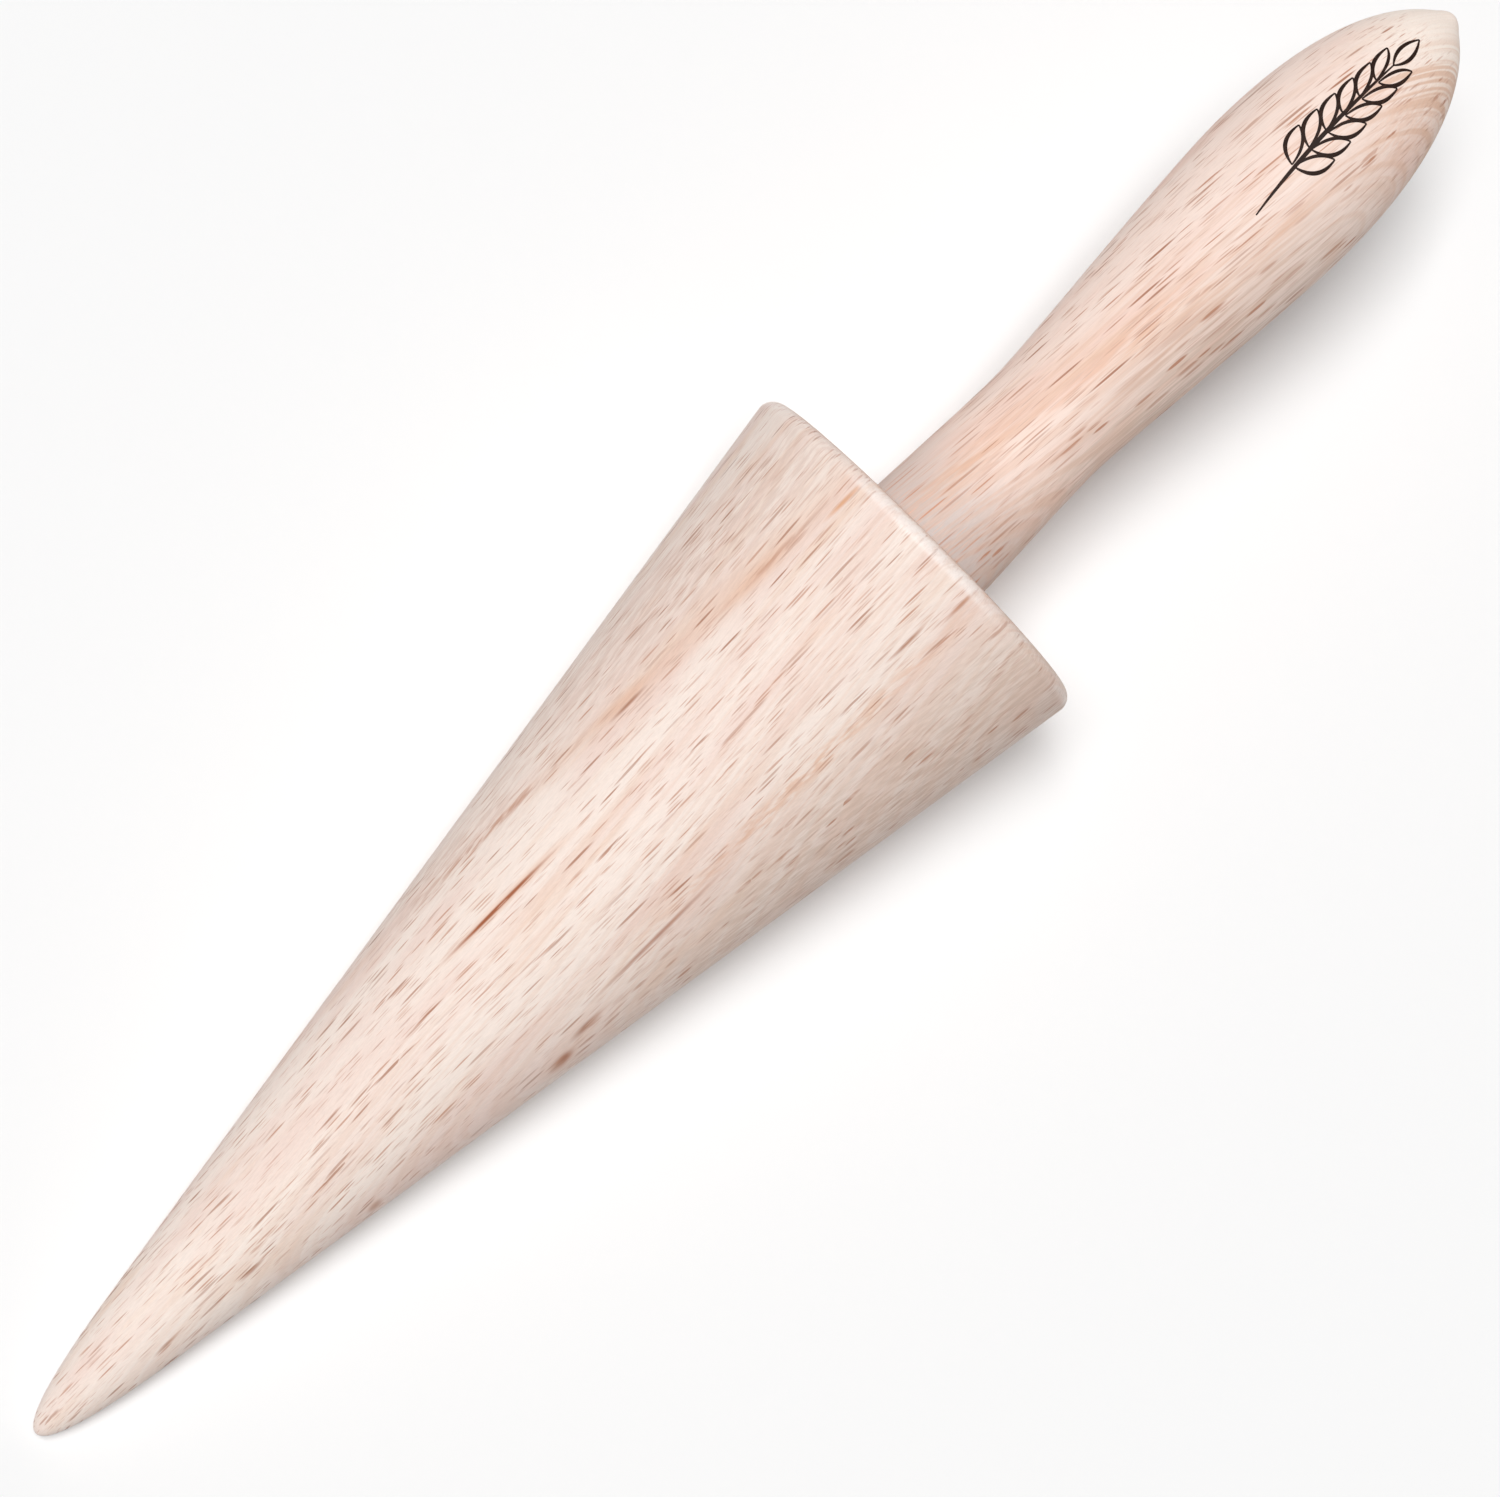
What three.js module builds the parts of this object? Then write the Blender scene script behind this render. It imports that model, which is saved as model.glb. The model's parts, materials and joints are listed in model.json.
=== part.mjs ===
// A turned beech cone roller: a warm flat wafer is wrapped round the cone to shape it.
// The cone and the handle are turned from two blanks. The handle ends in a tenon,
// which is glued into a blind mortise in the cone's base.
//
// Every piece is turned about one axis, so each outline below is drawn as (radius, distance
// along the axis), with the cone's tip at distance 0. The finished roller lies on the side
// of its cone: +X runs from tip to handle, and the surface it lies on is z = 0.
// Lengths are in millimetres.

import * as THREE from 'three';

// ---- cone ----
const CONE_LENGTH = 131; // from the tip to the base face
const BASE_RADIUS = 22.55; // where the side would meet the base face if the rim were sharp
const NOSE_BLUNTNESS = 0.74; // the nose is the parabola radius^2 = 2 * bluntness * distance
const RIM_ROUNDING = 1.6; // radius of the rounded rim

// ---- handle, measured from the cone's base face ----
// Three curves join four points of its outline. Each reach is how far, back towards the cone
// or on towards the end, a curve still runs in the direction that it has at its point.
const HANDLE_LENGTH = 78.6;
const NECK = { radius: 7.95, drawnIn: 0.3, reachOn: 7 }; // at the shoulder
const WAIST = { at: 17.8, radius: 7.25, reachBack: 4, reachOn: 5 };
const SWELL = { at: 53, radius: 9.7, reachBack: 8, reachOn: 19.5 };
const END_POINT = { at: 77.7, radius: 1.6, splay: 1, reachBack: 1.05 }; // the blunted end begins
const SEAT_MARGIN = 0.25; // between the shoulder and the free ring of the base face

// ---- glued joint ----
const TENON_RADIUS = 6;
const TENON_LENGTH = 28;
const TENON_CHAMFER = 1;
const GLUE_THICKNESS = 0.1;
const FIT_GAP = 0.1; // at the sides of the glue, at its rim and under the handle's shoulder
const MORTISE_RADIUS = TENON_RADIUS + GLUE_THICKNESS + 2 * FIT_GAP;
const MORTISE_DEPTH = TENON_LENGTH + GLUE_THICKNESS + FIT_GAP;

// ---- fineness ----
const FLATS_ROUND = 48; // a multiple of 4, so that a flat faces straight down
const CURVE_STEPS = 9;

// ---- finishes ----
const CONE_BEECH = { color: 0xf0d9cb, roughness: 0.62, metalness: 0 };
const HANDLE_BEECH = { color: 0xecd0bf, roughness: 0.6, metalness: 0 };
const CURED_GLUE = { color: 0xdcc48e, roughness: 0.35, metalness: 0 };

// The cone's side is radius = slope * (distance + virtual apex). It is tangent to the nose
// and passes through BASE_RADIUS at the base face, which gives a quadratic for the slope.
const SIDE_SLOPE =
  (BASE_RADIUS + Math.sqrt(BASE_RADIUS ** 2 - 2 * NOSE_BLUNTNESS * CONE_LENGTH))
  / (2 * CONE_LENGTH);
const NOSE_RADIUS = NOSE_BLUNTNESS / SIDE_SLOPE; // where the nose ends and the side begins
const NOSE_LENGTH = NOSE_RADIUS / (2 * SIDE_SLOPE);

// The flat that faces down lies a little nearer the axis than the corners on each side of it.
const FLAT_SLOPE = SIDE_SLOPE * Math.cos(Math.PI / FLATS_ROUND);
const LYING_TILT = Math.atan(FLAT_SLOPE);

// Turns an outline about the Y axis, with a flat centred on +Z and another on -Z.
function turned(name, outline, finish) {
  const halfFlat = Math.PI / FLATS_ROUND;
  const points = outline.getPoints(CURVE_STEPS);
  const geometry = new THREE.LatheGeometry(points, FLATS_ROUND, halfFlat);
  const mesh = new THREE.Mesh(geometry, new THREE.MeshStandardMaterial(finish));
  mesh.name = name;
  return mesh;
}

function formingCone() {
  const sideAngle = Math.atan(SIDE_SLOPE);
  const sharpToCentre = RIM_ROUNDING * (SIDE_SLOPE + 1 / Math.cos(sideAngle));
  const rimCentreRadius = BASE_RADIUS - sharpToCentre;
  const rimCentreAt = CONE_LENGTH - RIM_ROUNDING;
  const mortiseFloor = CONE_LENGTH - MORTISE_DEPTH;

  const outline = new THREE.Path();
  outline.moveTo(0, 0);
  outline.quadraticCurveTo(NOSE_RADIUS / 2, 0, NOSE_RADIUS, NOSE_LENGTH);
  outline.absarc(rimCentreRadius, rimCentreAt, RIM_ROUNDING, -sideAngle, Math.PI / 2);
  // the base face: a free ring, then the seat of the handle's shoulder
  outline.lineTo(NECK.radius + SEAT_MARGIN, CONE_LENGTH);
  outline.lineTo(MORTISE_RADIUS, CONE_LENGTH);
  outline.lineTo(MORTISE_RADIUS, mortiseFloor);
  outline.lineTo(0, mortiseFloor);
  return turned('forming_cone', outline, CONE_BEECH);
}

function handle() {
  const shoulder = CONE_LENGTH + FIT_GAP;
  const tenonEnd = CONE_LENGTH - TENON_LENGTH;
  const waistAt = CONE_LENGTH + WAIST.at;
  const swellAt = CONE_LENGTH + SWELL.at;
  const endPointAt = CONE_LENGTH + END_POINT.at;
  const end = CONE_LENGTH + HANDLE_LENGTH;

  const outline = new THREE.Path();
  outline.moveTo(0, tenonEnd);
  outline.lineTo(TENON_RADIUS - TENON_CHAMFER, tenonEnd);
  outline.lineTo(TENON_RADIUS, tenonEnd + TENON_CHAMFER);
  outline.lineTo(TENON_RADIUS, shoulder);
  outline.lineTo(NECK.radius, shoulder);
  // neck to waist
  outline.bezierCurveTo(
    NECK.radius - NECK.drawnIn, shoulder + NECK.reachOn,
    WAIST.radius, waistAt - WAIST.reachBack,
    WAIST.radius, waistAt,
  );
  // waist to the fullest part of the grip
  outline.bezierCurveTo(
    WAIST.radius, waistAt + WAIST.reachOn,
    SWELL.radius, swellAt - SWELL.reachBack,
    SWELL.radius, swellAt,
  );
  // grip to the blunted end
  outline.bezierCurveTo(
    SWELL.radius, swellAt + SWELL.reachOn,
    END_POINT.radius + END_POINT.splay, endPointAt - END_POINT.reachBack,
    END_POINT.radius, endPointAt,
  );
  outline.quadraticCurveTo(END_POINT.radius / 2, end, 0, end);
  return turned('handle', outline, HANDLE_BEECH);
}

// The cured glue is a thin cup: a sleeve round the tenon, closed under the tenon's end, where
// half the fit gap is left above it and half below.
function glueFilm() {
  const innerRadius = TENON_RADIUS + FIT_GAP;
  const outerRadius = innerRadius + GLUE_THICKNESS;
  const cupTop = CONE_LENGTH - FIT_GAP;
  const cupFloor = CONE_LENGTH - MORTISE_DEPTH + FIT_GAP / 2;
  const underTenon = CONE_LENGTH - TENON_LENGTH - FIT_GAP / 2;

  const outline = new THREE.Path();
  outline.moveTo(0, cupFloor);
  outline.lineTo(outerRadius, cupFloor);
  outline.lineTo(outerRadius, cupTop);
  outline.lineTo(innerRadius, cupTop);
  outline.lineTo(innerRadius, underTenon);
  outline.lineTo(0, underTenon);
  return turned('glue_film', outline, CURED_GLUE);
}

const alongX = new THREE.Group();
alongX.rotation.z = -Math.PI / 2;
alongX.add(formingCone(), handle(), glueFilm());

const lying = new THREE.Group();
lying.rotation.y = -LYING_TILT;
lying.add(alongX);

// The origin is under the middle of the roller, on the surface that it lies on.
const roller = new THREE.Group();
roller.add(lying);
const box = new THREE.Box3().setFromObject(roller, true);
const middle = box.getCenter(new THREE.Vector3());
lying.position.set(-middle.x, -middle.y, -box.min.z);

export default roller;
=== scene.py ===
"""A turned beech cone roller, lying on a pale floor in soft studio light.

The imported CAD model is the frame. Smooth turned solids stand for its two faceted wooden
pieces, and a small printed sprig of wheat marks the grip. All wood is solid texture: each
turned surface cuts its own block of beech, with its rays, growth rings and fibres.
Distances along the turning axis start at the cone's tip. Lengths are in millimetres, as in
the CAD source, except for the sizes and distances of the floor and the light, which are in
metres. Blender's own lengths are in metres too.
"""

import json
import math
from typing import NamedTuple

import bpy
from mathutils import Matrix, Vector


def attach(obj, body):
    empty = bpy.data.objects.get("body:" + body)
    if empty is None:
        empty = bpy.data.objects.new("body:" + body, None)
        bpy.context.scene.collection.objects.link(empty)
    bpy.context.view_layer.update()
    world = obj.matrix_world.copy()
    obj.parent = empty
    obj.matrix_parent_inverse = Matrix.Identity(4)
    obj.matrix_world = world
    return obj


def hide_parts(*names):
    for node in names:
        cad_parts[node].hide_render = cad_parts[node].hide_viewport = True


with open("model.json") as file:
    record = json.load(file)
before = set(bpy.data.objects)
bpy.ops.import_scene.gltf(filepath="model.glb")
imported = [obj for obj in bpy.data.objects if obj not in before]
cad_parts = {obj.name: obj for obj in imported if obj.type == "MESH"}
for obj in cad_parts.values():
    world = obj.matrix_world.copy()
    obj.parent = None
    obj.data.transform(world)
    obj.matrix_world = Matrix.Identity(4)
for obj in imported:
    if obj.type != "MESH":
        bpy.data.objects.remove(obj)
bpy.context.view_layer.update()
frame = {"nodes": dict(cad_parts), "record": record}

MM = 0.001

# ---- shapes, as in the CAD source ----
CONE_LENGTH = 131
BASE_RADIUS = 22.55  # where the side would meet the base face if the rim were sharp
NOSE_BLUNTNESS = 0.74  # the nose is the parabola radius^2 = 2 * bluntness * distance
RIM_ROUNDING = 1.6

# Distances on the handle start at the cone's base face. A reach is how far, back towards the
# cone or on towards the end, a curve still runs in the direction that it has at its point.
HANDLE_LENGTH = 78.6
NECK_RADIUS, NECK_DRAWN_IN, NECK_REACH_ON = 7.95, 0.3, 7
WAIST_AT, WAIST_RADIUS, WAIST_REACH_BACK, WAIST_REACH_ON = 17.8, 7.25, 4, 5
SWELL_AT, SWELL_RADIUS, SWELL_REACH_BACK, SWELL_REACH_ON = 53, 9.7, 8, 19.5
END_AT, END_RADIUS, END_SPLAY, END_REACH_BACK = 77.7, 1.6, 1, 1.05
TENON_RADIUS, TENON_LENGTH, TENON_CHAMFER = 6, 28, 1
MORTISE_RADIUS, MORTISE_DEPTH = 6.3, 28.2

MOUNT_RADIUS = 14  # from the axis to the mount's point on the base face

# ---- shapes finer than the CAD source ----
SEATING_GAP = 0.03  # between the handle's shoulder and the cone's base face
SHOULDER_EASE = 0.25  # radius of the shoulder's eased edge

# ---- fineness of the turned meshes ----
SEGMENTS = 256
NOSE_STEPS = 48
SIDE_STEPS = 70
RIM_STEPS = 20
BASE_STEPS = 12
JOINT_STEPS = 6  # of the mortise's wall, the tenon's side and the shoulder's edge
FLOOR_STEPS = 3  # of the mortise
NECK_STEPS, SWELL_STEPS, GRIP_STEPS, END_STEPS = 24, 40, 48, 8
SHARP_ANGLE = math.radians(35)  # edges sharper than this aren't shaded smooth

# ---- where everything lies ----
mount = frame["record"]["mounts"][0]
ALONG = Vector(mount["axis"]).normalized()  # the turning axis, from tip to handle
ACROSS = Vector((0, 1, 0))
UP = ALONG.cross(ACROSS)  # square to the axis, on the side away from the floor
BASE_CENTRE = Vector(mount["pos_m"]) - UP * MOUNT_RADIUS * MM
TIP = BASE_CENTRE - ALONG * CONE_LENGTH * MM

# The cone's side is tangent to the parabola of its nose, which gives a quadratic for the slope.
SIDE_SLOPE = (
    BASE_RADIUS + math.sqrt(BASE_RADIUS**2 - 2 * NOSE_BLUNTNESS * CONE_LENGTH)
) / (2 * CONE_LENGTH)
NOSE_RADIUS = NOSE_BLUNTNESS / SIDE_SLOPE
NOSE_LENGTH = NOSE_RADIUS / (2 * SIDE_SLOPE)


def place(radius, at, angle):
    """The point at this radius, distance from the tip and angle round from UP to ACROSS."""
    outward = UP * math.cos(angle) + ACROSS * math.sin(angle)
    return TIP + (ALONG * at + outward * radius) * MM


# ---- outlines of (radius, distance from the tip) ----
def bezier(corners, steps):
    """Points along a Bezier curve of any degree, without its first."""
    points = []
    for step in range(1, steps + 1):
        t = step / steps
        level = list(corners)
        while len(level) > 1:
            level = [
                tuple(a + (b - a) * t for a, b in zip(p, q))
                for p, q in zip(level, level[1:])
            ]
        points.append(level[0])
    return points


def straight(start, end, steps):
    return bezier([start, end], steps)


def arc(centre, radius, start, end, steps):
    """Points along an arc, with both its ends. Angles run from the radial direction."""
    angles = [start + (end - start) * i / steps for i in range(steps + 1)]
    return [
        (centre[0] + radius * math.cos(a), centre[1] + radius * math.sin(a))
        for a in angles
    ]


def cone_outline():
    """From the tip over the side, the rim and the base face, and down into the mortise."""
    side_angle = math.atan(SIDE_SLOPE)
    inward = RIM_ROUNDING * (SIDE_SLOPE + 1 / math.cos(side_angle))
    rim_centre = (BASE_RADIUS - inward, CONE_LENGTH - RIM_ROUNDING)
    floor = CONE_LENGTH - MORTISE_DEPTH
    nose = [(0, 0), (NOSE_RADIUS / 2, 0), (NOSE_RADIUS, NOSE_LENGTH)]
    rim = arc(rim_centre, RIM_ROUNDING, -side_angle, math.pi / 2, RIM_STEPS)
    points = [(0, 0)] + bezier(nose, NOSE_STEPS)
    points += straight(points[-1], rim[0], SIDE_STEPS)[:-1] + rim
    points += straight(rim[-1], (MORTISE_RADIUS, CONE_LENGTH), BASE_STEPS)
    points += straight(points[-1], (MORTISE_RADIUS, floor), JOINT_STEPS)
    return points + straight(points[-1], (0, floor), FLOOR_STEPS)


def grip_outline():
    """The handle's visible outline, from the neck to the blunted end."""
    neck_at = CONE_LENGTH + SEATING_GAP + SHOULDER_EASE
    waist_at = CONE_LENGTH + WAIST_AT
    swell_at = CONE_LENGTH + SWELL_AT
    end_at = CONE_LENGTH + END_AT
    end = CONE_LENGTH + HANDLE_LENGTH
    neck = (NECK_RADIUS, neck_at)
    waist = (WAIST_RADIUS, waist_at)
    swell = (SWELL_RADIUS, swell_at)
    end_point = (END_RADIUS, end_at)
    to_waist = [
        neck,
        (NECK_RADIUS - NECK_DRAWN_IN, neck_at + NECK_REACH_ON),
        (WAIST_RADIUS, waist_at - WAIST_REACH_BACK),
        waist,
    ]
    to_swell = [
        waist,
        (WAIST_RADIUS, waist_at + WAIST_REACH_ON),
        (SWELL_RADIUS, swell_at - SWELL_REACH_BACK),
        swell,
    ]
    to_end = [
        swell,
        (SWELL_RADIUS, swell_at + SWELL_REACH_ON),
        (END_RADIUS + END_SPLAY, end_at - END_REACH_BACK),
        end_point,
    ]
    blunting = [end_point, (END_RADIUS / 2, end), (0, end)]
    points = [neck] + bezier(to_waist, NECK_STEPS) + bezier(to_swell, SWELL_STEPS)
    return points + bezier(to_end, GRIP_STEPS) + bezier(blunting, END_STEPS)


def handle_outline():
    """The whole handle, from the tenon's end. Its shoulder has a small eased edge."""
    shoulder = CONE_LENGTH + SEATING_GAP
    tenon_end = CONE_LENGTH - TENON_LENGTH
    ease_centre = (NECK_RADIUS - SHOULDER_EASE, shoulder + SHOULDER_EASE)
    ease = arc(ease_centre, SHOULDER_EASE, -math.pi / 2, 0, JOINT_STEPS)
    points = [
        (0, tenon_end),
        (TENON_RADIUS - TENON_CHAMFER, tenon_end),
        (TENON_RADIUS, tenon_end + TENON_CHAMFER),
    ]
    points += straight(points[-1], (TENON_RADIUS, shoulder), JOINT_STEPS)
    return points + ease[:-1] + grip_outline()


# ---- meshes ----
def mesh_object(name, vertices, faces):
    mesh = bpy.data.meshes.new(name)
    mesh.from_pydata(vertices, [], faces)
    mesh.validate()
    mesh.polygons.foreach_set("use_smooth", [True] * len(mesh.polygons))
    mesh.set_sharp_from_angle(angle=SHARP_ANGLE)
    piece = bpy.data.objects.new(name, mesh)
    bpy.context.scene.collection.objects.link(piece)
    return piece


def turned_solid(name, outline):
    """A closed solid turned about the axis. Outlines run from the axis and back to it."""
    rings = outline[1:-1]
    vertices = [place(*outline[0], 0)]
    for radius, at in rings:
        for i in range(SEGMENTS):
            vertices.append(place(radius, at, 2 * math.pi * i / SEGMENTS))
    vertices.append(place(*outline[-1], 0))
    last = len(vertices) - 1
    end_ring = 1 + (len(rings) - 1) * SEGMENTS
    faces = []
    for i in range(SEGMENTS):
        j = (i + 1) % SEGMENTS
        faces.append((0, 1 + i, 1 + j))
        for ring in range(len(rings) - 1):
            low = 1 + ring * SEGMENTS
            high = low + SEGMENTS
            faces.append((low + i, high + i, high + j, low + j))
        faces.append((end_ring + i, last, end_ring + j))
    return mesh_object(name, vertices, faces)


# ---- node graphs written as formulas ----
MIX_A, MIX_B, MIX_RESULT = 6, 7, 2  # the colour sockets of a Mix node


class Field:
    """One output of a node graph. Arithmetic on fields adds Math nodes."""

    def __init__(self, graph, socket):
        self.graph = graph
        self.socket = socket

    def math(self, operation, *others):
        node = self.graph.node("ShaderNodeMath", operation=operation)
        for socket, value in zip(node.inputs, (self, *others)):
            self.graph.feed(socket, value)
        return Field(self.graph, node.outputs[0])

    def __add__(self, other):
        return self.math("ADD", other)

    def __sub__(self, other):
        return self.math("SUBTRACT", other)

    def __mul__(self, other):
        return self.math("MULTIPLY", other)

    def __truediv__(self, other):
        return self.math("DIVIDE", other)

    def squared(self):
        return self * self

    def root(self):
        return self.math("SQRT")

    def remap(self, low, high, to_low=0.0, to_high=1.0):
        """Runs smoothly from to_low at low to to_high at high, and stays there."""
        node = self.graph.node("ShaderNodeMapRange", interpolation_type="SMOOTHSTEP")
        for name, value in (
            ("Value", self),
            ("From Min", low),
            ("From Max", high),
            ("To Min", to_low),
            ("To Max", to_high),
        ):
            self.graph.feed(node.inputs[name], value)
        return Field(self.graph, node.outputs["Result"])


class Graph:
    """A material and the nodes that make it."""

    def __init__(self, name):
        self.material = bpy.data.materials.new(name)
        self.material.use_nodes = True
        self.tree = self.material.node_tree
        self.tree.nodes.clear()
        self.coordinates = self.node("ShaderNodeTexCoord")

    def node(self, kind, **settings):
        node = self.tree.nodes.new(kind)
        for name, value in settings.items():
            setattr(node, name, value)
        return node

    def feed(self, socket, value):
        if isinstance(value, Field):
            self.tree.links.new(value.socket, socket)
        else:
            socket.default_value = value

    def position(self):
        return Field(self, self.coordinates.outputs["Object"])

    def normal(self):
        return Field(self, self.coordinates.outputs["Normal"])

    def dot(self, vector, direction):
        node = self.node("ShaderNodeVectorMath", operation="DOT_PRODUCT")
        self.feed(node.inputs[0], vector)
        node.inputs[1].default_value = direction
        return Field(self, node.outputs["Value"])

    def measured(self, origin, way):
        """How many millimetres the surface lies from the origin, this way."""
        return (self.dot(self.position(), way) - origin.dot(way)) * (1 / MM)

    def vector(self, x, y, z):
        node = self.node("ShaderNodeCombineXYZ")
        for socket, value in zip(node.inputs, (x, y, z)):
            self.feed(socket, value)
        return Field(self, node.outputs[0])

    def noise(self, vector, detail=2.0, roughness=0.5):
        node = self.node("ShaderNodeTexNoise", noise_dimensions="3D")
        self.feed(node.inputs["Vector"], vector)
        node.inputs["Scale"].default_value = 1.0
        node.inputs["Detail"].default_value = detail
        node.inputs["Roughness"].default_value = roughness
        return Field(self, node.outputs["Fac"])

    def lumps(self, parts, sizes, shift=(0.0, 0.0, 0.0), detail=2.0, roughness=0.5):
        """Noise whose lumps have these sizes along the three parts of a place."""
        spot = [part / size for part, size in zip(parts, sizes)]
        spot = [part + move if move else part for part, move in zip(spot, shift)]
        return self.noise(self.vector(*spot), detail, roughness)

    def cells(self, vector):
        """Distance to the nearest random point, and three random values for that point."""
        node = self.node("ShaderNodeTexVoronoi", voronoi_dimensions="3D", distance="EUCLIDEAN")
        self.feed(node.inputs["Vector"], vector)
        node.inputs["Scale"].default_value = 1.0
        node.inputs["Randomness"].default_value = 1.0
        parts = self.node("ShaderNodeSeparateColor")
        self.tree.links.new(node.outputs["Color"], parts.inputs[0])
        randoms = [Field(self, output) for output in parts.outputs]
        return Field(self, node.outputs["Distance"]), randoms

    def blend(self, factor, a, b, mode="MIX"):
        """Colour a turning into colour b as factor runs from 0 to 1."""
        node = self.node("ShaderNodeMix", data_type="RGBA", blend_type=mode)
        node.clamp_factor = True
        self.feed(node.inputs["Factor"], factor)
        self.feed(node.inputs[MIX_A], a)
        self.feed(node.inputs[MIX_B], b)
        return Field(self, node.outputs[MIX_RESULT])

    def bump(self, height, strength, distance):
        node = self.node("ShaderNodeBump")
        node.inputs["Strength"].default_value = strength
        node.inputs["Distance"].default_value = distance
        self.feed(node.inputs["Height"], height)
        return Field(self, node.outputs["Normal"])

    def finish(self, **inputs):
        """Puts the fields and values on a Principled shader and returns the material.

        Each is named after its socket, with an underscore for a space.
        """
        shader = self.node("ShaderNodeBsdfPrincipled")
        output = self.node("ShaderNodeOutputMaterial")
        self.tree.links.new(shader.outputs[0], output.inputs["Surface"])
        for name, value in inputs.items():
            self.feed(shader.inputs[name.replace("_", " ")], value)
        return self.material


def rgb(red, green, blue):
    """A linear colour from the 0 to 255 values of a display colour."""
    def linear(value):
        value /= 255
        return value / 12.92 if value <= 0.04045 else ((value + 0.055) / 1.055) ** 2.4

    return (linear(red), linear(green), linear(blue), 1.0)


# ---- colours ----
CREAM = rgb(251, 236, 226)
PINK = rgb(243, 217, 206)
WARM_CREAM = rgb(250, 229, 218)
WARM_PINK = rgb(243, 210, 196)
# painted light, where the nose and the handle's end turn away from the light
PALE = rgb(255, 243, 232)
PEACH = rgb(240, 208, 186)
ORANGE = rgb(228, 174, 138)
# TAN and PINK_BROWN are the wood's own tones, and on the sides also painted shade
TAN = rgb(218, 192, 174)
PINK_BROWN = rgb(226, 198, 184)
# painted shade, where the cone's base shades the handle's neck
NECK_SHADE = rgb(199, 187, 182)
RING_BROWN = rgb(220, 172, 140)
RAY_PALE = rgb(222, 186, 168)
RAY_WARM = rgb(202, 152, 129)
RAY_DARK = rgb(180, 128, 104)
SPINDLE = rgb(196, 144, 120)
STREAK = rgb(168, 98, 66)
END_GRAIN = rgb(232, 206, 188)
# the rim's pale band: partly burnish, partly a painted highlight from the overhead light
BURNISH_AND_HIGHLIGHT = rgb(255, 244, 238)
GLUE_AMBER = rgb(214, 186, 130)
GLUE_CLOUDY = rgb(238, 220, 178)
INK_DARK = rgb(40, 24, 18)
INK_WORN = rgb(64, 43, 34)
FLOOR_WHITE = (0.9, 0.9, 0.9, 1.0)
FLOOR_WHITER = (0.92, 0.92, 0.92, 1.0)
WALL_WHITE = (1.0, 1.0, 1.0, 1.0)

# ---- beech ----
# Sizes of the lumps of noise: along the grain, round the rings and out from the pith
PATCH_LUMPS = (30.0, 9.0, 3.0)
WARMTH_LUMPS = (24.0, 6.0, 2.0)
RING_LUMPS = (70.0, 20.0, 0.4)
STREAK_LUMPS = (9.0, 0.4, 0.4)
FIBRE_LUMPS = (6.0, 0.18, 0.18)
FINE_LUMPS = (2.4, 0.12, 0.12)
# and along the grain or the turning axis, across that axis and above it
WANDER_LUMPS, WANDER_REACH = (40.0, 16.0, 16.0), 1.8
SWAY_LUMPS, SWAY_REACH = (50.0, 18.0, 18.0), 2.4
WEAR_LUMPS = (3.0, 0.7, 0.7)

# Ranges for Field.remap. Over the first two values, a strength runs from the third to the
# fourth, or from 0 to 1 where they aren't given.
PATCH_SHOWS = (0.4, 0.72, 0.1, 0.85)
WARMTH_SHOWS = (0.54, 0.76, 0.0, 0.5)
MARK_FADES_IN = (1.0, 0.1)  # from its edge to near its middle
MARKS_ON_TOP = (-4.0, 2.0)  # from under the turning axis to above it
MARK_STREAKS = (0.4, 0.6, 0.2, 1.0)
RING_LINES = (0.45, 0.6)
RINGS_BY_CUT = (0.04, 0.4, 0.4, 1.0)
RINGS_BY_DISTANCE = (0.5, 5.0, 0.1, 1.0)  # outwards, from the ring at the turning axis
FIBRE_TINTS = (0.58, 0.76, 0.0, 0.2)
SPINDLE_STREAKS = (0.35, 0.55, 0.35, 1.0)
END_GRAIN_SHOWS = (0.9, 0.995, 0.0, 0.6)
FIBRE_LIGHT = (0.3, 0.7, 0.975, 1.02)
FINE_LIGHT = (0.3, 0.7, 0.97, 1.02)
FIBRE_ROUGHNESS = (0.25, 0.75, 0.5, 0.68)

# The rim's pale band, part burnish and part painted highlight, by how squarely the surface faces
# the handle and by where it is
RIM_FACES_FROM, RIM_FACES_TO = (-0.12, 0.3), (0.95, 0.7)
RIM_FROM, RIM_TO = (CONE_LENGTH - 3, CONE_LENGTH - 2), (CONE_LENGTH + 0.1, CONE_LENGTH)
RIM_WEAR = (0.35, 0.6, 0.5, 1.0)
# painted highlight: the rim paler on its upper side, where the overhead light catches it
RIM_HIGHLIGHT_ON_TOP = (18.0, 22.0, 0.1, 1.0)
RIM_SHOW = 0.8

NEEDLES_LEFT = 0.5  # of the needles' strength, where spindles take over
BOLD_POLISH, RIM_POLISH = 0.08, 0.25  # how much smoother bold rays and the rim are
FIBRE_RELIEF, FINE_RELIEF, DASH_RELIEF, BOLD_RELIEF = 0.5, 0.3, 0.35, 0.5
BUMP_STRENGTH, BUMP_HEIGHT = 0.25, 0.06
WOOD_GLOSS = 0.28  # the shader's specular level, as is each gloss below


class RayKind(NamedTuple):
    """Rays of one size: thin ribbons that lie along the grain and run out from the pith."""

    pitch: tuple  # how far apart they lie: along the grain, round the rings and outwards
    reach: float  # the largest one's half size, as a share of the pitch
    shown: float  # the share of them that have colour
    offset: float  # keeps them apart from the other kinds
    strength: float
    colour: tuple


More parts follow.
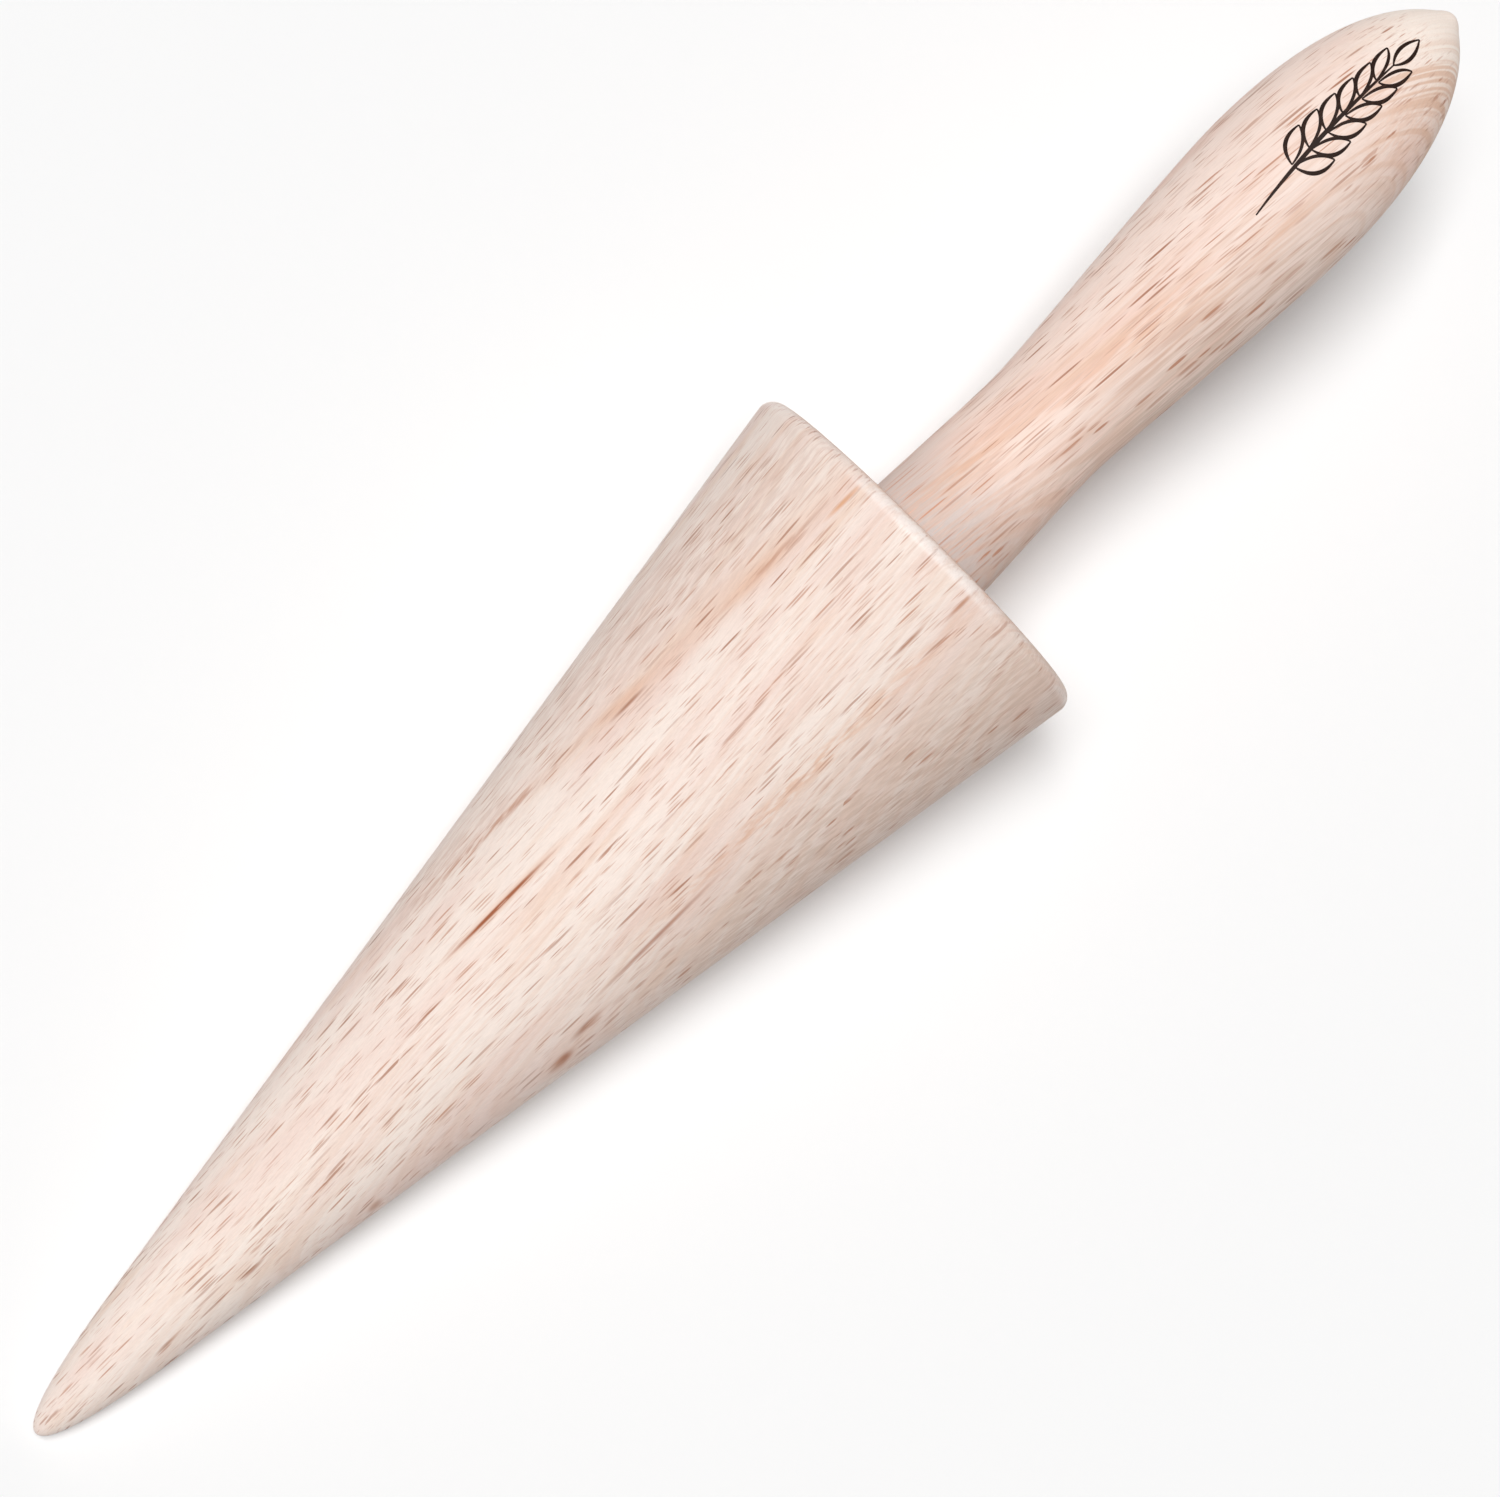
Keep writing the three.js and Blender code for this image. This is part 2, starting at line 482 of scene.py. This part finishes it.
HAIRLINES = RayKind((4.4, 0.17, 0.8), 0.46, 0.95, 0.0, 0.8, RAY_PALE)
DASHES = RayKind((7.0, 0.23, 1.1), 0.46, 0.88, 3.7, 0.9, RAY_WARM)
BOLD = RayKind((10.0, 0.33, 1.4), 0.45, 0.6, 8.1, 0.95, RAY_DARK)
SPINDLES = RayKind((4.6, 0.46, 1.3), 0.47, 0.85, 5.3, 1.0, SPINDLE)
SMALLEST_RAY = 0.5  # as a share of the largest
SOLID_CORE = 0.5  # a ray's colour fades out from this share of its half size
STRONGEST_RAY = 1.1  # past the highest random value, so that no ray is quite at full strength


class Mark(NamedTuple):
    """A long soft mark on the upper side of the wood: a tone or streak in it, or painted light or
    shade.
    """

    at: float  # its middle's distance from the cone's tip
    side: float  # and from the turning axis, towards ACROSS
    half_length: float
    half_width: float
    strength: float
    colour: tuple
    whole: bool = False  # or else broken up into fine streaks


class Wood(NamedTuple):
    """How one block of beech is cut and figured. Angles run round from UP to ACROSS."""

    start: float  # where on the axis its own distances begin, from the tip
    grain: Vector  # the direction of its fibres
    ray_angle: float  # the way that the rays run out
    ring_angle: float  # the way that the growth rings face
    pith_distance: float
    seed: float
    ground: tuple  # the two colours between the figure
    ring_show: float
    ray_show: float
    ray_fade: tuple  # rays fade out over this as the surface turns square to the axis
    spindle_side: tuple  # where needles give way to thick spindles, as distances towards ACROSS


def direction(along, across, up):
    return (ALONG * along + ACROSS * across + UP * up).normalized()


def across_the_grain(wood, degrees):
    """The way out from the axis at this angle, turned square to the grain."""
    angle = math.radians(degrees)
    outward = direction(0, math.sin(angle), math.cos(angle))
    return (outward - wood.grain * outward.dot(wood.grain)).normalized()


def polar(way_round, outward, pith_distance):
    """Distances round the rings, and out from the one at the turning axis."""
    reach = outward + pith_distance
    out = (way_round.squared() + reach.squared()).root() - pith_distance
    return way_round.math("ARCTAN2", reach) * pith_distance, out


class Block:
    """Where the surface lies in one block of beech, as fields in millimetres.

    along is measured from the cone's tip, and across and above from the turning axis, towards
    ACROSS and UP. place_in_rays and place_in_rings are distances along the grain, round the
    rings, and outwards from the ring at the turning axis. The rays and the growth rings each
    face a way of their own.
    """

    def __init__(self, graph, wood):
        origin = place(0, wood.start, 0)
        self.along = graph.measured(origin, ALONG) + wood.start
        self.across = graph.measured(origin, ACROSS)
        self.above = graph.measured(origin, UP)
        grainwise = graph.measured(origin, wood.grain)

        # a slow wander of the grain, so that no line in the wood is quite straight
        spot = (grainwise, self.across, self.above)
        wander = graph.lumps(spot, WANDER_LUMPS, (wood.seed, 0.0, 0.0), detail=1.5)
        sway = graph.lumps(spot, SWAY_LUMPS, (0.0, wood.seed, 0.0), detail=1.5)
        wander = (wander - 0.5) * WANDER_REACH
        sway = (sway - 0.5) * SWAY_REACH

        def place_in(degrees):
            outward = across_the_grain(wood, degrees)
            way_round = graph.measured(origin, outward.cross(wood.grain)) + wander
            straight_out = graph.measured(origin, outward) + sway
            return (grainwise, *polar(way_round, straight_out, wood.pith_distance))

        self.place_in_rays = place_in(wood.ray_angle)
        self.place_in_rings = place_in(wood.ring_angle)


def ground_colour(graph, block, wood):
    """Long patches that follow the rings."""
    seed = wood.seed
    spot = block.place_in_rings
    patch = graph.lumps(spot, PATCH_LUMPS, (0.0, seed, 0.0))
    warmth = graph.lumps(spot, WARMTH_LUMPS, (seed, 0.0, 0.0))
    colour = graph.blend(patch.remap(*PATCH_SHOWS), *wood.ground)
    return graph.blend(warmth.remap(*WARMTH_SHOWS), colour, PEACH)


def marked(graph, block, colour, marks, streaks):
    """The colour with the long marks over it, in their order."""
    on_top = block.above.remap(*MARKS_ON_TOP)
    broken = streaks.remap(*MARK_STREAKS)
    for mark in marks:
        distance = (
            ((block.along - mark.at) / mark.half_length).squared()
            + ((block.across - mark.side) / mark.half_width).squared()
        ).root()
        shown = distance.remap(*MARK_FADES_IN) * on_top * mark.strength
        if not mark.whole:
            shown = shown * broken
        colour = graph.blend(shown, colour, mark.colour)
    return colour


def ringed(graph, block, wood, colour, cut):
    """Growth rings of uneven width, clearest where the wood is cut across them."""
    spot = block.place_in_rings
    rings = graph.lumps(spot, RING_LUMPS, (wood.seed, 0.0, 0.0), detail=1.5, roughness=0.6)
    shown = rings.remap(*RING_LINES) * cut.remap(*RINGS_BY_CUT) * wood.ring_show
    out = spot[2]
    return graph.blend(shown * out.remap(*RINGS_BY_DISTANCE), colour, RING_BROWN)


def rays(graph, block, wood, kind):
    """How strongly rays of one kind show, before their kind's own strength."""
    offset = wood.seed + kind.offset
    spot = [part / pitch + offset for part, pitch in zip(block.place_in_rays, kind.pitch)]
    distance, randoms = graph.cells(graph.vector(*spot))
    own_reach = randoms[0].remap(0.0, 1.0, kind.reach * SMALLEST_RAY, kind.reach)
    inside = (distance / own_reach).remap(1.0, SOLID_CORE)
    return inside * randoms[1].remap(1.0 - kind.shown, STRONGEST_RAY)


def rim_burnish_and_highlight(graph, block, facing):
    """Where the cone's rounded rim is, and how pale it is there: worn and burnished in patches,
    with a painted highlight mostly on its upper side.
    """
    rim = facing.remap(*RIM_FACES_FROM) * facing.remap(*RIM_FACES_TO)
    rim = rim * block.along.remap(*RIM_FROM) * block.along.remap(*RIM_TO)
    rim_paleness = graph.lumps((block.along, block.across, block.above), WEAR_LUMPS, detail=4.0)
    return rim, rim_paleness.remap(*RIM_WEAR) * block.above.remap(*RIM_HIGHLIGHT_ON_TOP)


def beech(name, wood, marks):
    """The material of one solid block of beech."""
    graph = Graph(name)
    block = Block(graph, wood)
    in_rays = block.place_in_rays
    facing = graph.dot(graph.normal(), ALONG)
    cut = facing.math("ABSOLUTE")  # 1 where the surface is square to the axis
    streaks = graph.lumps(in_rays, STREAK_LUMPS, (0.0, wood.seed, 0.0), detail=3.0)
    fibre = graph.lumps(in_rays, FIBRE_LUMPS, detail=3.0, roughness=0.65)
    fine = graph.lumps(in_rays, FINE_LUMPS, (0.0, 0.0, wood.seed))

    colour = ground_colour(graph, block, wood)
    colour = marked(graph, block, colour, marks, streaks)
    colour = ringed(graph, block, wood, colour, cut)
    colour = graph.blend(fibre.remap(*FIBRE_TINTS), colour, RAY_PALE)

    # rays, from many faint hairlines to a few bold dashes, and short thick spindles at the side
    clear = cut.remap(*wood.ray_fade) * wood.ray_show
    side_start, side_end = wood.spindle_side
    needled = clear * block.across.remap(side_end, side_start, NEEDLES_LEFT, 1.0)
    spindled = clear * block.across.remap(side_start, side_end)
    spindled = spindled * streaks.remap(*SPINDLE_STREAKS)
    dashes = rays(graph, block, wood, DASHES)
    bold = rays(graph, block, wood, BOLD)
    for kind, shown in (
        (HAIRLINES, rays(graph, block, wood, HAIRLINES) * needled),
        (DASHES, dashes * needled),
        (BOLD, bold * needled),
        (SPINDLES, rays(graph, block, wood, SPINDLES) * spindled),
    ):
        colour = graph.blend(shown * kind.strength, colour, kind.colour)

    rim, rim_paleness = rim_burnish_and_highlight(graph, block, facing)
    # the rim paled: burnish in patches, and a painted highlight on its upper side
    colour = graph.blend(rim * rim_paleness * RIM_SHOW, colour, BURNISH_AND_HIGHLIGHT)
    colour = graph.blend(cut.remap(*END_GRAIN_SHOWS), colour, END_GRAIN, "MULTIPLY")
    light = fibre.remap(*FIBRE_LIGHT) * fine.remap(*FINE_LIGHT)
    colour = graph.blend(1.0, colour, graph.vector(light, light, light), "MULTIPLY")

    roughness = fibre.remap(*FIBRE_ROUGHNESS) - bold * BOLD_POLISH - rim * RIM_POLISH
    height = fibre * FIBRE_RELIEF + fine * FINE_RELIEF - dashes * DASH_RELIEF - bold * BOLD_RELIEF
    return graph.finish(
        Base_Color=colour,
        Roughness=roughness,
        Normal=graph.bump(height, BUMP_STRENGTH, BUMP_HEIGHT * MM),
        Specular_IOR_Level=WOOD_GLOSS,
    )


def cone_beech():
    marks = [
        # painted light: the nose paled, where it slopes away from the light
        Mark(38.0, -2.5, 34.0, 8.0, 0.3, PALE, whole=True),
        # the next four are partly the wood's own tone and partly painted shade, darkening the
        # cone's upper and lower sides towards its edges
        Mark(112.0, 15.0, 58.0, 7.0, 0.62, PINK_BROWN),
        Mark(74.0, 11.5, 26.0, 3.0, 0.6, PINK_BROWN),
        Mark(102.0, -19.0, 72.0, 13.0, 0.85, TAN),
        Mark(106.0, -19.0, 70.0, 12.0, 0.3, PINK_BROWN, whole=True),
        Mark(112.0, 10.2, 32.0, 2.4, 0.32, ORANGE, whole=True),
        Mark(116.5, 9.6, 8.0, 1.2, 0.4, ORANGE, whole=True),
        Mark(119.0, 9.6, 12.0, 0.5, 0.6, RAY_WARM),
        Mark(127.5, 8.6, 3.6, 0.4, 1.0, ORANGE, whole=True),
        Mark(97.5, 10.3, 6.0, 1.0, 0.45, ORANGE, whole=True),
        Mark(97.9, 9.7, 3.4, 0.3, 0.9, RAY_DARK, whole=True),
        Mark(80.0, 10.7, 17.0, 0.6, 0.8, RAY_WARM),
        Mark(106.0, -8.0, 36.0, 1.4, 0.55, ORANGE),
        Mark(121.9, -5.8, 3.4, 0.3, 0.9, RAY_DARK, whole=True),
        Mark(128.3, -6.9, 3.0, 0.35, 1.0, RAY_WARM, whole=True),
        Mark(83.0, -9.0, 12.0, 0.34, 0.7, STREAK, whole=True),
        Mark(67.0, -11.2, 2.4, 0.75, 1.1, RAY_WARM, whole=True),
        Mark(67.3, -11.2, 1.4, 0.45, 0.6, STREAK, whole=True),
        Mark(71.5, -10.4, 3.0, 0.5, 0.9, RAY_DARK, whole=True),
        Mark(42.4, -8.2, 1.6, 0.5, 0.8, RAY_WARM, whole=True),
        Mark(29.2, -3.9, 2.6, 0.3, 0.75, RAY_DARK, whole=True),
        Mark(17.1, -3.1, 2.6, 0.28, 0.75, RAY_DARK, whole=True),
        Mark(75.5, 4.5, 14.0, 0.8, 0.5, ORANGE, whole=True),
        Mark(74.0, 4.5, 10.0, 0.3, 1.3, STREAK, whole=True),
    ]
    wood = Wood(
        start=0,
        grain=direction(1, 0, 0),
        ray_angle=4,
        ring_angle=-70,
        pith_distance=62,
        seed=2.4,
        ground=(CREAM, PINK),
        ring_show=0.3,
        ray_show=1.0,
        ray_fade=(0.95, 0.8),
        spindle_side=(-6.0, -14.0),
    )
    return beech("cone_beech_wood", wood, marks)


def handle_beech():
    marks = [
        # painted shade: the neck greyed and darkened next to the cone's base, where the cone
        # shades it
        Mark(CONE_LENGTH - 1.0, -1.0, 15.0, 20.0, 1.0, NECK_SHADE, whole=True),
        Mark(CONE_LENGTH + 8.0, 2.6, 14.0, 2.4, 0.5, ORANGE),
        Mark(CONE_LENGTH + 20.0, 0.7, 14.0, 2.0, 0.4, ORANGE),
        Mark(CONE_LENGTH + 32.0, -0.4, 14.0, 2.2, 0.55, ORANGE),
        Mark(CONE_LENGTH + 44.0, -2.8, 15.0, 2.4, 0.55, ORANGE),
        Mark(CONE_LENGTH + 30.5, -3.2, 9.0, 1.8, 0.8, RAY_PALE),
        Mark(CONE_LENGTH + 41.0, -6.0, 10.0, 2.4, 0.7, RAY_PALE),
        Mark(CONE_LENGTH + 11.0, 0.8, 5.0, 1.2, 0.7, RAY_PALE),
        Mark(CONE_LENGTH + 66.0, -5.0, 14.0, 4.5, 0.3, ORANGE),
        # painted light: the handle's end paled, where its surface turns away from the light
        Mark(CONE_LENGTH + 76.0, 1.0, 12.0, 14.0, 0.85, PALE, whole=True),
        # partly the wood's own tone, partly painted shade on the grip's lower side
        Mark(CONE_LENGTH + 30.0, -8.0, 46.0, 6.5, 0.75, TAN),
    ]
    wood = Wood(
        start=CONE_LENGTH + 58,
        grain=direction(1, -0.08, 0.03),
        ray_angle=2,
        ring_angle=-60,
        pith_distance=40,
        seed=7.9,
        ground=(WARM_CREAM, WARM_PINK),
        ring_show=0.65,
        ray_show=1.3,
        ray_fade=(0.7, 0.35),
        spindle_side=(0.0, -5.0),
    )
    return beech("handle_beech_wood", wood, marks)


# ---- glue and ink ----
CLOUD_SCALE = 400.0  # clouds to a metre, so that each is about 2.5 mm
CLOUDS_SHOW = (0.35, 0.65)
GLUE_ROUGHNESS, GLUE_GLOSS = (0.3, 0.7, 0.22, 0.42), 0.5
INK_LUMPS = (1.6, 0.16, 0.16)
INK_WEAR_SHOWS = (0.45, 0.75)
INK_ROUGHNESS, INK_GLOSS = (0.3, 0.7, 0.55, 0.7), 0.15


def glue_material():
    """Cured wood glue: amber, cloudy and a little glossy."""
    graph = Graph("cured_glue_amber")
    scaled = graph.node("ShaderNodeVectorMath", operation="SCALE")
    graph.feed(scaled.inputs[0], graph.position())
    scaled.inputs["Scale"].default_value = CLOUD_SCALE
    cloud = graph.noise(Field(graph, scaled.outputs[0]), detail=3.0)
    return graph.finish(
        Base_Color=graph.blend(cloud.remap(*CLOUDS_SHOW), GLUE_AMBER, GLUE_CLOUDY),
        Roughness=cloud.remap(*GLUE_ROUGHNESS),
        Specular_IOR_Level=GLUE_GLOSS,
    )


def ink_material():
    """Dark brown stamping ink, thinner where the fibres stand up."""
    graph = Graph("stamped_ink_brown")
    spot = [graph.measured(TIP, way) for way in (ALONG, ACROSS, UP)]
    worn = graph.lumps(spot, INK_LUMPS, detail=3.0)
    return graph.finish(
        Base_Color=graph.blend(worn.remap(*INK_WEAR_SHOWS), INK_DARK, INK_WORN),
        Roughness=worn.remap(*INK_ROUGHNESS),
        Specular_IOR_Level=INK_GLOSS,
    )


# ---- the printed sprig ----
SPRIG_START = CONE_LENGTH + 47.5
SPRIG_SIDE = 0.7  # how far the stem lies towards ACROSS
STEM_LENGTH = 21.4
STEM_FOOT_SIDE = -0.9  # how far the stem's foot lies off its line
STEM_BEND_AT, STEM_BEND_SIDE = 9, 0.5
GRAIN_PAIRS, FIRST_PAIR_AT, PAIR_PITCH = 6, 6.2, 2.5
GRAIN_LENGTH = 3.5
GRAIN_SPAN, SPAN_TAPER = 2.6, 0.16  # of the first pair, and how much less each next one has
GRAIN_ROOT_SIDE = 0.15
OUTER_BEND_AT, OUTER_BEND_PAST = 0.6, 0.5  # past its root, and past its own span
INNER_BEND_AT, INNER_BEND_SHARE = 2.9, 0.2  # past its root, and as a share of its span
TOP_GRAIN_FROM, TOP_GRAIN_TO = 21.2, 25.4
TOP_BEND_AT, TOP_BEND_SIDE = 23.0, 1.5

# half widths of the strokes at their middles, and of every stroke at its ends
STEM_STROKE, OUTER_STROKE, INNER_STROKE, TOP_STROKE, STROKE_ENDS = 0.24, 0.23, 0.18, 0.21, 0.08
STROKE_STEPS, STROKE_COLUMNS = 18, 4
STROKE_NUDGE = 0.01  # of a stroke's run, to find which way it goes
INK_PROUD = 0.03
INK_SUNK = 0.03


def grip_radius(at):
    """The handle's radius at a distance from the tip."""
    outline = grip_outline()
    for (r0, a0), (r1, a1) in zip(outline, outline[1:]):
        if a0 <= at <= a1:
            return r0 + (r1 - r0) * (at - a0) / (a1 - a0)
    raise ValueError(f"{at} is past the end of the grip")


def on_grip(at, side, lift):
    radius = grip_radius(at)
    return place(radius + lift, at, side / radius)


def curve(start, bend, end):
    """A path along a quadratic curve, as a function of a number from 0 to 1."""
    def path(t):
        return tuple(
            a * (1 - t) ** 2 + 2 * b * t * (1 - t) + c * t * t
            for a, b, c in zip(start, bend, end)
        )

    return path


def stroke_points(path, half_width):
    """Rows of points on both faces of a stroke, the proud face first."""
    points = []
    for lift in (INK_PROUD, -INK_SUNK):
        for i in range(STROKE_STEPS + 1):
            t = i / STROKE_STEPS
            at, side = path(t)
            ahead = path(min(t + STROKE_NUDGE, 1))
            behind = path(max(t - STROKE_NUDGE, 0))
            run = Vector((ahead[0] - behind[0], ahead[1] - behind[1])).normalized()
            reach = STROKE_ENDS + (half_width - STROKE_ENDS) * math.sin(math.pi * t)
            for j in range(STROKE_COLUMNS + 1):
                offset = reach * (2 * j / STROKE_COLUMNS - 1)
                points.append(on_grip(at - run.y * offset, side + run.x * offset, lift))
    return points


def brush_stroke(vertices, faces, path, half_width):
    """Adds a thin closed plate that lies on the grip and narrows to its ends."""
    first = len(vertices)
    vertices.extend(stroke_points(path, half_width))
    columns = STROKE_COLUMNS
    layer = (STROKE_STEPS + 1) * (columns + 1)

    def corner(low, i, j):
        return first + low * layer + i * (columns + 1) + j

    for i in range(STROKE_STEPS):
        for j in range(columns):
            top = [corner(0, i, j), corner(0, i, j + 1)]
            top += [corner(0, i + 1, j + 1), corner(0, i + 1, j)]
            faces.append(top)
            faces.append([v + layer for v in reversed(top)])
        for j in (0, columns):
            wall = [corner(0, i, j), corner(0, i + 1, j), corner(1, i + 1, j), corner(1, i, j)]
            faces.append(wall if j == 0 else wall[::-1])
    for j in range(columns):
        for i in (0, STROKE_STEPS):
            wall = [corner(0, i, j), corner(1, i, j), corner(1, i, j + 1), corner(0, i, j + 1)]
            faces.append(wall if i == 0 else wall[::-1])


def printed_sprig():
    """A stem, pairs of grains that get narrower, and one grain on top, all in outline."""
    vertices, faces = [], []

    def spot(at, side):
        return (SPRIG_START + at, SPRIG_SIDE + side)

    def stroke(start, bend, end, half_width):
        brush_stroke(vertices, faces, curve(start, bend, end), half_width)

    stem_bend = spot(STEM_BEND_AT, STEM_BEND_SIDE)
    stroke(spot(0, STEM_FOOT_SIDE), stem_bend, spot(STEM_LENGTH, 0), STEM_STROKE)
    for pair in range(GRAIN_PAIRS):
        root = FIRST_PAIR_AT + PAIR_PITCH * pair
        span = GRAIN_SPAN - SPAN_TAPER * pair
        for way in (-1, 1):
            start = spot(root, GRAIN_ROOT_SIDE * way)
            end = spot(root + GRAIN_LENGTH, span * way)
            outer = spot(root + OUTER_BEND_AT, (span + OUTER_BEND_PAST) * way)
            inner = spot(root + INNER_BEND_AT, INNER_BEND_SHARE * span * way)
            stroke(start, outer, end, OUTER_STROKE)
            stroke(start, inner, end, INNER_STROKE)
    start, end = spot(TOP_GRAIN_FROM, 0), spot(TOP_GRAIN_TO, 0)
    for way in (-1, 1):
        stroke(start, spot(TOP_BEND_AT, TOP_BEND_SIDE * way), end, TOP_STROKE)
    return mesh_object("printed_sprig", vertices, faces)


# ---- the object ----
cone = turned_solid("cone_turned", cone_outline())
cone.data.materials.append(cone_beech())
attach(cone, "root")
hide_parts("forming_cone")

handle = turned_solid("handle_turned", handle_outline())
handle.data.materials.append(handle_beech())
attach(handle, "root")
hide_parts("handle")

sprig = printed_sprig()
sprig.data.materials.append(ink_material())
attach(sprig, "root")

frame["nodes"]["glue_film"].material_slots[0].material = glue_material()

# ---- floor, light and camera ----
FLOOR_HALF = 3.0  # of its width, in metres
FLOOR_ROUGHNESS = 0.8
ROOM_LEVEL = 0.03  # of the light that comes from all round
WALL_LEVEL = 0.8  # of the room's walls as they show beyond the floor
KEY_LEVEL = 1.085
KEY_SIZE, KEY_DISTANCE = 3.6, 8.0  # in metres
KEY_LEAN_ALONG, KEY_LEAN_ACROSS = 0.12, 0.1  # how far it leans from UP, as slopes
PICTURE_WIDTH = 156.8  # of the camera's view, at the turning axis
VIEW_DISTANCE = 420
VIEW_FROM_TIP = 103.4  # where the view's middle lies along the axis
VIEW_SIDE = -2.17  # and how far from the axis, towards ACROSS
SENSOR_WIDTH = 36


def floor_material():
    graph = Graph("floor_white")
    mottle = graph.noise(graph.position(), detail=2.0)
    return graph.finish(
        Base_Color=graph.blend(mottle, FLOOR_WHITE, FLOOR_WHITER),
        Roughness=FLOOR_ROUGHNESS,
        Specular_IOR_Level=0.0,
    )


def studio_floor():
    half = FLOOR_HALF
    corners = [(-half, -half, 0), (half, -half, 0), (half, half, 0), (-half, half, 0)]
    floor = mesh_object("studio_floor", corners, [(0, 1, 2, 3)])
    floor.data.materials.append(floor_material())


def studio_world():
    """Pale walls that show beyond the floor, and add only a little light."""
    world = bpy.data.worlds.new("studio")
    world.use_nodes = True
    nodes, links = world.node_tree.nodes, world.node_tree.links
    seen = nodes.new("ShaderNodeLightPath")
    level = nodes.new("ShaderNodeMapRange")
    level.inputs["To Min"].default_value = ROOM_LEVEL
    level.inputs["To Max"].default_value = WALL_LEVEL
    links.new(seen.outputs["Is Camera Ray"], level.inputs["Value"])
    links.new(level.outputs["Result"], nodes["Background"].inputs["Strength"])
    nodes["Background"].inputs["Color"].default_value = WALL_WHITE
    bpy.context.scene.world = world


def studio_key():
    """A large soft light high over the object, a little towards the handle.

    A white card at the cone's base, facing this light, shows as a little under KEY_LEVEL.
    """
    away = direction(KEY_LEAN_ALONG, KEY_LEAN_ACROSS, 1) * KEY_DISTANCE
    data = bpy.data.lights.new("key", "AREA")
    data.energy = KEY_LEVEL * (math.pi * KEY_DISTANCE) ** 2
    data.size = KEY_SIZE
    key = bpy.data.objects.new("key", data)
    key.location = place(0, CONE_LENGTH, 0) + away
    key.rotation_euler = (-away).to_track_quat("-Z", "Y").to_euler()
    bpy.context.scene.collection.objects.link(key)


def studio_camera():
    """Looks square to the turning axis, which runs up to the right in the picture."""
    data = bpy.data.cameras.new("camera")
    data.sensor_width = SENSOR_WIDTH
    data.lens = SENSOR_WIDTH * VIEW_DISTANCE / PICTURE_WIDTH
    camera = bpy.data.objects.new("camera", data)
    right = (ALONG - ACROSS).normalized()
    top = (ALONG + ACROSS).normalized()
    spot = place(0, VIEW_FROM_TIP, 0) + ACROSS * VIEW_SIDE * MM + UP * VIEW_DISTANCE * MM
    turn = Matrix((right, top, UP)).transposed().to_4x4()
    camera.matrix_world = Matrix.Translation(spot) @ turn
    bpy.context.scene.collection.objects.link(camera)
    bpy.context.scene.camera = camera


studio_floor()
studio_world()
studio_key()
studio_camera()
bpy.context.scene.view_settings.view_transform = "Standard"
